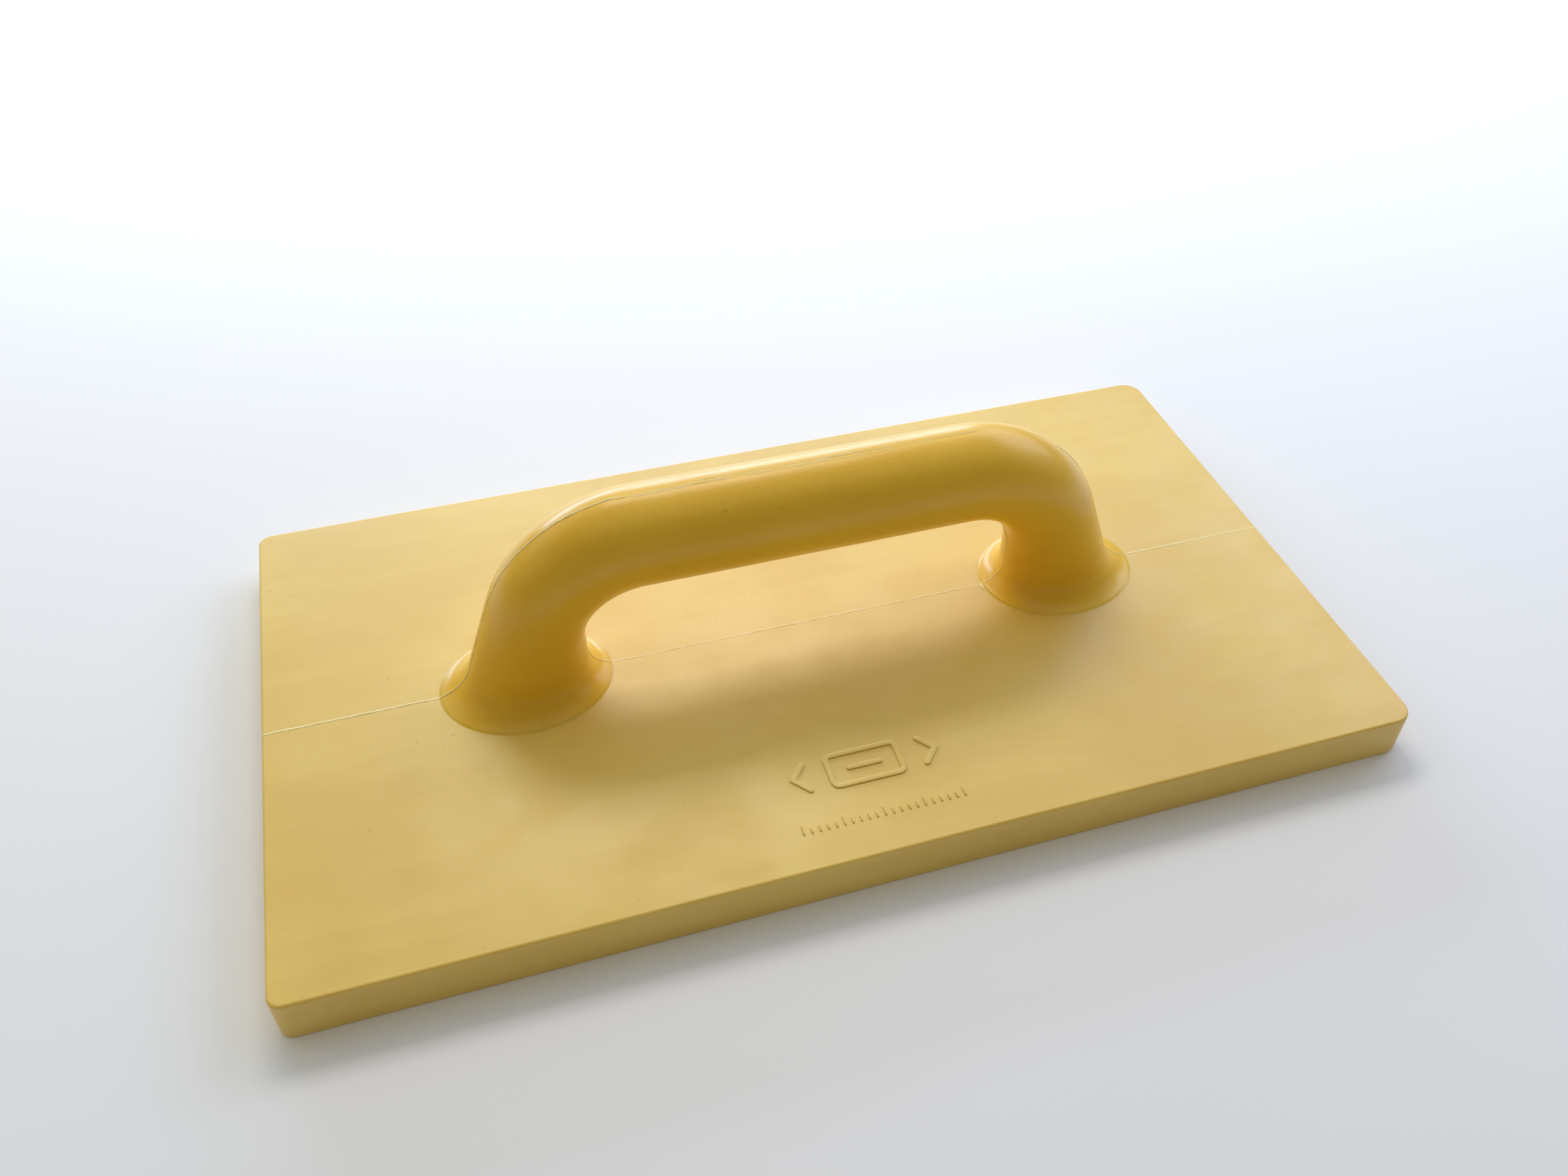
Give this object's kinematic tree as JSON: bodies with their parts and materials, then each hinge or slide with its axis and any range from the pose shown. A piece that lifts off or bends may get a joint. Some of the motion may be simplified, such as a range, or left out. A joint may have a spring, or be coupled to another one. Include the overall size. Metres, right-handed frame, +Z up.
{
  "type": "plastering hand float",
  "caption": "Rigid foam hand float: a flat rectangular board with a moulded bow handle on flared feet, for smoothing plaster, render, mortar or concrete.",
  "frame": {"origin": "middle of the sole, the board's flat underside", "axes": "+X along the board and its handle, +Y across the board, away from the raised mark, +Z up through the handle"},
  "size_m": [0.36, 0.2, 0.0859],
  "materials": {
    "board_skin": "dense polyurethane skin, dull and faintly mottled",
    "handle_skin": "dense polyurethane skin, satin and slightly translucent",
    "foam_core": "rigid microcellular polyurethane foam"
  },
  "bodies": {
    "root": {"board_skin": "board_skin", "board_core": "foam_core", "handle_skin": "handle_skin", "handle_core": "foam_core", "size_mark": "board_skin"}
  },
  "joints": []
}
